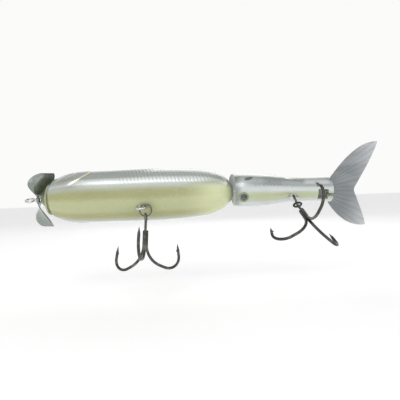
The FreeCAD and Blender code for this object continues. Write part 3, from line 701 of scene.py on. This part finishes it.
class BAIT_OT_rear_skins(bpy.types.Operator):
    """Makes the two halves of the rear section, with the eye slot and the fin's keyway"""
    bl_idname = "bait.rear_skins"
    bl_label = "Rear skins"

    def execute(self, context):
        material = rear_finish(colours_now())
        sizes = sizes_now()
        for side, sign in (("left", -1), ("right", 1)):
            skin = half_skin(f"rear_skin_{side}", BACK, sign, rear_relief,
                             sizes.rings // 2, sizes.steps, material)
            carve(skin, [
                ball_cutter("face_ball", FACE_RADIUS, (FACE_X - FACE_RADIUS, 0, 1.0), REAR),
                box_cutter("eye_slot", (93, -SLOT_HALF, SLOT_FLOOR), (PIN_X, SLOT_HALF, SLOT_ROOF), REAR),
                round_cutter("eye_pocket", SLOT_HALF, (PIN_X, 0, SLOT_FLOOR), (PIN_X, 0, SLOT_ROOF), REAR),
                round_cutter("pin_well", WELL_RADIUS, (PIN_X, 0, -12), (PIN_X, 0, PIN_LEVEL + 0.9), REAR),
                box_cutter("tab_key", (142.1, -2.6, -12), (147.1, 2.6, 4.3), REAR),
                box_cutter("neck_key", (146.9, -0.9, -12), (151, 0.9, 4.3), REAR),
            ])
            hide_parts(f"rear_shell_{side}")
        return {"FINISHED"}


class BAIT_OT_pin_boss(bpy.types.Operator):
    """Makes the raised collar round the hinge screw"""
    bl_idname = "bait.pin_boss"
    bl_label = "Pin boss"

    def execute(self, context):
        outline = [(WELL_RADIUS, 3.0), (WELL_RADIUS, 0.15), (1.8, -0.05), (2.2, -0.1), (2.42, 0.1),
                   (2.42, 3.0)]
        sides = 64
        points = [REAR @ (Vector((PIN_X + r * math.cos(2 * math.pi * k / sides),
                                  r * math.sin(2 * math.pi * k / sides), PIN_LEVEL + z)) * MM)
                  for r, z in outline for k in range(sides)]
        faces = []
        for i in range(len(outline)):
            n = (i + 1) % len(outline)
            for k in range(sides):
                m = (k + 1) % sides
                faces.append((i * sides + k, i * sides + m, n * sides + m, n * sides + k))
        finish = moulded_finish("boss_green", (0.3, 0.36, 0.22), (0.2, 0.25, 0.16))
        mesh_piece("pin_boss", points, faces, finish, "rear_body")
        return {"FINISHED"}


def fin_half_thickness(sizes, along, v):
    """Half the fin's thickness: thin at the trailing edge and at its leading edges."""
    sheet = sizes.root_sheet + (sizes.tip_sheet - sizes.root_sheet) * along ** 0.7
    edge = 1 - 0.65 * abs(v) ** 10
    ray = 1 + 0.13 * math.cos(math.pi * v * sizes.fin_rays) * ease(0.05, 0.3, along)
    return sheet / 2 * edge * ray


# The fin's trailing edge, from its left tip through the notch to its right tip
FIN_TRAIL = [
    (-1.0, (20.1, -24.7)), (-0.8, (19.2, -20.3)), (-0.5, (17.2, -13.1)), (-0.18, (14.0, -4.0)),
    (0.0, (12.9, 0.0)), (0.2, (15.2, 4.8)), (0.55, (19.4, 13.2)), (0.85, (21.5, 18.0)),
    (1.0, (22.2, 19.9))]


class BAIT_OT_tail_fin(bpy.types.Operator):
    """Makes the soft tail fin and its T-shaped tab"""
    bl_idname = "bait.tail_fin"
    bl_label = "Tail fin"

    def execute(self, context):
        sizes = sizes_now()
        rows, columns = 64, 120
        trail_x = [(v, p[0]) for v, p in FIN_TRAIL]
        trail_y = [(v, p[1]) for v, p in FIN_TRAIL]
        points, faces = [], []
        for face_side in (-1, 1):
            for i in range(rows + 1):
                along = i / rows
                for j in range(columns + 1):
                    v = -1 + 2 * j / columns
                    end = (hermite(trail_x, v), hermite(trail_y, v))
                    fullness = FIN_BULGE_LEFT if v < 0 else FIN_BULGE_RIGHT
                    bulge = fullness * 4 * along * (1 - along) * math.copysign(abs(v) ** 1.6, v)
                    root_y = v * FIN_ROOT_HALF
                    x = FIN_START + end[0] * along
                    y = root_y + (end[1] - root_y) * along + bulge
                    wave = FIN_WAVE * math.sin(along * 3.0) * v * v
                    half = fin_half_thickness(sizes, along, v) / MM
                    z = FIN_LEVEL + wave * 0.4 + face_side * half
                    points.append(REAR @ (Vector((x, y, z)) * MM))
        row = columns + 1
        other = (rows + 1) * row
        for i in range(rows):
            for j in range(columns):
                a = i * row + j
                faces.append((a, a + 1, a + row + 1, a + row))
                faces.append((other + a, other + a + row, other + a + row + 1, other + a + 1))
        for i in range(rows):
            for j in (0, columns):
                a = i * row + j
                faces.append((a, a + row, other + a + row, other + a))
        for j in range(columns):
            for i in (0, rows):
                a = i * row + j
                faces.append((a, a + 1, other + a + 1, other + a))
        fin = mesh_piece("soft_tail_fin", points, faces, fin_finish(colours_now()),
                         "rear_body", crease=60)
        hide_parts("tail_fin")
        tab = box_cutter("fin_tab", (142.15, -2.55, -0.9), (147.05, 2.55, 4.25), REAR)
        neck = box_cutter("fin_neck", (146.8, -0.86, 0.1), (149.9, 0.86, 4.25), REAR)
        carve(tab, [neck], "UNION")
        round_edges = tab.modifiers.new("edge", "BEVEL")
        round_edges.width = 0.35 * MM
        round_edges.segments = 3
        graph = bpy.context.evaluated_depsgraph_get()
        tab.data = bpy.data.meshes.new_from_object(tab.evaluated_get(graph))
        tab.modifiers.clear()
        finish = moulded_finish("tab_grey", (0.17, 0.19, 0.165), (0.1, 0.115, 0.1))
        dress(tab, finish, "rear_body")
        return {"FINISHED"}


REAR_RING_SIDE = Vector((-0.428, -0.584, 0.69))
RINGS = {
    "front": {"end": "hook_front_swing", "body": "ring_front"},
    "rear": {"end": "hook_rear_swing", "body": "ring_rear"},
}


class BAIT_OT_split_rings(bpy.types.Operator):
    """Makes each split ring as a two-turn coil of round wire"""
    bl_idname = "bait.split_rings"
    bl_label = "Split rings"

    def execute(self, context):
        finish = metal_finish("ring_plating", (0.13, 0.13, 0.125), (0.42, 0.42, 0.4), 0.2)
        radius, wire, pitch, turns, samples = 2.75 * MM, 0.29 * MM, 0.56 * MM, 2.0, 120
        for name, data in RINGS.items():
            low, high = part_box(f"split_ring_{name}")
            centre = (low + high) / 2
            end = Vector(JOINTS[data["end"]]["pos_m"])
            reach = (end - centre).normalized()
            if name == "front":
                normal = Vector((0, 1, 0))
            else:
                normal = reach.cross(REAR_RING_SIDE).normalized()
            side = normal.cross(reach).normalized()
            points = []
            for i in range(int(samples * turns) + 1):
                t = i / samples
                step = ease(0.9, 1.1, t) - 0.5
                angle = 2 * math.pi * t + 0.7
                points.append(centre + (reach * math.cos(angle) + side * math.sin(angle)) * radius
                              + normal * (step * pitch))
            verts, faces = tube(points, wire, 14)
            ring = mesh_piece(f"ring_coil_{name}", verts, faces, finish, data["body"],
                              crease=60)
            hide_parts(f"split_ring_{name}")
        return {"FINISHED"}


class BAIT_OT_metalwork(bpy.types.Operator):
    """Finishes the hooks, the nose blade and the wire forms"""
    bl_idname = "bait.metalwork"
    bl_label = "Metalwork"

    def execute(self, context):
        nickel = metal_finish("hook_black_nickel", (0.075, 0.073, 0.068), (0.3, 0.295, 0.28), 0.2, 700.0)
        steel = metal_finish("wire_steel", (0.62, 0.62, 0.6), (0.85, 0.85, 0.84), 0.14, 1200.0)
        dark = metal_finish("blade_dark_polish", (0.27, 0.3, 0.28), (0.5, 0.53, 0.47), 0.1, 500.0,
                            (1, 0.2, 1))
        pin = metal_finish("pin_dark", (0.14, 0.145, 0.14), (0.36, 0.37, 0.35), 0.26)
        finishes = {
            "treble_front": (nickel, "black_nickel"), "treble_rear": (nickel, "black_nickel"),
            "line_tie_wire": (steel, "bright_wire"), "front_hanger": (steel, "bright_wire"),
            "rear_hanger": (steel, "bright_wire"), "joint_eye": (steel, "bright_wire"),
            "blade_bead_front": (steel, "bright_wire"), "blade_bead_rear": (steel, "bright_wire"),
            "nose_blade": (dark, "blade_metal"), "hinge_pin": (pin, "black_nickel"),
        }
        for node, (material, slot) in finishes.items():
            paint(node, material)
        return {"FINISHED"}


class BAIT_OT_inner_pieces(bpy.types.Operator):
    """Finishes the nose cone and the pieces inside the shells"""
    bl_idname = "bait.inner_pieces"
    bl_label = "Nose cone and inner pieces"

    def execute(self, context):
        cone = moulded_finish("cone_olive", (0.42, 0.44, 0.27), (0.3, 0.32, 0.19), 0.22, 1.0)
        clear = moulded_finish("tube_clear", (0.7, 0.73, 0.72), (0.6, 0.63, 0.62), 0.12, 1.0)
        film = metal_finish("foil_film", (0.8, 0.82, 0.83), (0.92, 0.93, 0.93), 0.16, 900.0,
                            (0.3, 1, 1))
        lead = metal_finish("ballast_dull", (0.35, 0.34, 0.31), (0.5, 0.48, 0.43), 0.45, 500.0)
        ball = metal_finish("ball_bright", (0.7, 0.7, 0.7), (0.85, 0.85, 0.85), 0.1, 600.0)
        paint("nose_cone", cone)
        for node in ("rattle_tube", "tube_plugs"):
            paint(node, clear)
        for node in ("front_foil_left", "front_foil_right", "rear_foil_left", "rear_foil_right"):
            paint(node, film)
        for node in ("keel_weight_front", "keel_weight_rear", "rear_weight"):
            paint(node, lead)
        paint("rattle_balls", ball)
        return {"FINISHED"}


def paint(node, material):
    """Gives a CAD node its finish."""
    obj = frame["nodes"][node]
    obj.data.materials.clear()
    obj.data.materials.append(material)


class BAIT_OT_stage(bpy.types.Operator):
    """Makes the pale floor, the soft lights and the camera"""
    bl_idname = "bait.stage"
    bl_label = "Stage"

    def execute(self, context):
        scene = context.scene
        low, high = CAD_BOX
        centre = (low + high) / 2
        floor_z = low.z - 0.012
        paper = Recipe("paper_floor", Roughness=0.9, Emission_Strength=0.22,
                       Emission_Color=(0.95, 0.95, 0.94, 1.0))
        soft = paper.noise(6.0, 2.0)
        tint = paper.mix(soft.rising(0.3, 0.7), (0.93, 0.93, 0.925), (0.96, 0.96, 0.955))
        material = paper.finish(Base_Color=tint)
        mesh = bpy.data.meshes.new("floor")
        reach = 30.0
        mesh.from_pydata([(-reach, -reach, floor_z), (reach, -reach, floor_z), (reach, reach, floor_z),
                          (-reach, reach, floor_z)], [], [(0, 1, 2, 3)])
        floor = link("floor", mesh)
        floor.data.materials.append(material)
        world = bpy.data.worlds.new("soft_room")
        world.use_nodes = True
        scene.world = world
        tree = world.node_tree
        tree.nodes.clear()
        output = tree.nodes.new("ShaderNodeOutputWorld")
        glow = tree.nodes.new("ShaderNodeBackground")
        glow.inputs["Strength"].default_value = 1.0
        place = tree.nodes.new("ShaderNodeTexCoord")
        split = tree.nodes.new("ShaderNodeSeparateXYZ")
        ramp = tree.nodes.new("ShaderNodeValToRGB")
        half = tree.nodes.new("ShaderNodeMapRange")
        half.inputs["From Min"].default_value = -1.0
        tree.links.new(place.outputs["Generated"], split.inputs[0])
        tree.links.new(split.outputs["Z"], half.inputs["Value"])
        tree.links.new(half.outputs[0], ramp.inputs[0])
        set_stops(ramp.color_ramp, [
            (0.0, (0.8, 0.8, 0.8)), (0.2, (0.97, 0.97, 0.965)), (0.76, (0.96, 0.96, 0.955)),
            (0.84, (0.3, 0.31, 0.32)), (0.93, (0.34, 0.35, 0.36)), (1.0, (0.8, 0.8, 0.8))])
        tree.links.new(ramp.outputs[0], glow.inputs["Color"])
        tree.links.new(glow.outputs[0], output.inputs["Surface"])
        self.lamp("key", centre + Vector((-0.1, -0.35, 0.45)), centre, 0.35, 0.75)
        self.lamp("fill", centre + Vector((0.35, -0.5, 0.05)), centre, 0.4, 0.3)
        self.lamp("rim", centre + Vector((0.05, 0.4, 0.35)), centre, 0.3, 0.5)
        data = bpy.data.cameras.new("camera")
        data.sensor_width = 36.0
        data.lens = sizes_now().lens
        data.clip_start = 0.005
        camera = bpy.data.objects.new("camera", data)
        scene.collection.objects.link(camera)
        camera.location = Vector((84.2, -181.0, -3.1)) * MM
        camera.rotation_mode = "QUATERNION"
        level = Matrix.Rotation(math.radians(90), 3, "X").to_quaternion()
        camera.rotation_quaternion = level @ Quaternion((0, 0, 1), math.radians(-2.3))
        scene.camera = camera
        scene.view_settings.view_transform = "Standard"
        return {"FINISHED"}

    def lamp(self, name, place, target, width, power):
        data = bpy.data.lights.new(name, "AREA")
        data.size = width
        data.energy = power
        lamp = bpy.data.objects.new(name, data)
        bpy.context.scene.collection.objects.link(lamp)
        lamp.location = place
        lamp.rotation_mode = "QUATERNION"
        lamp.rotation_quaternion = (target - place).to_track_quat("-Z", "Y")


STEPS = ("front_skins", "rear_skins", "pin_boss", "tail_fin", "split_rings", "metalwork",
         "inner_pieces", "stage")


class BAIT_PT_panel(bpy.types.Panel):
    """Lists the bait's steps and settings"""
    bl_label = "Bait"
    bl_idname = "BAIT_PT_panel"
    bl_space_type = "VIEW_3D"
    bl_region_type = "UI"
    bl_category = "Bait"

    def draw(self, context):
        for step in STEPS:
            self.layout.operator(f"bait.{step}")
        for group in (context.scene.bait_sizes, context.scene.bait_colours):
            for name in group.__annotations__:
                self.layout.prop(group, name)


CLASSES = (BaitColours, BaitSizes, BAIT_OT_front_skins, BAIT_OT_rear_skins, BAIT_OT_pin_boss,
           BAIT_OT_tail_fin, BAIT_OT_split_rings, BAIT_OT_metalwork, BAIT_OT_inner_pieces,
           BAIT_OT_stage, BAIT_PT_panel)


def register():
    for cls in CLASSES:
        bpy.utils.register_class(cls)
    bpy.types.Scene.bait_colours = bpy.props.PointerProperty(type=BaitColours)
    bpy.types.Scene.bait_sizes = bpy.props.PointerProperty(type=BaitSizes)


def unregister():
    del bpy.types.Scene.bait_sizes
    del bpy.types.Scene.bait_colours
    for cls in reversed(CLASSES):
        bpy.utils.unregister_class(cls)


def main():
    register()
    for step in STEPS:
        getattr(bpy.ops.bait, step)()


if __name__ == "__main__":
    main()
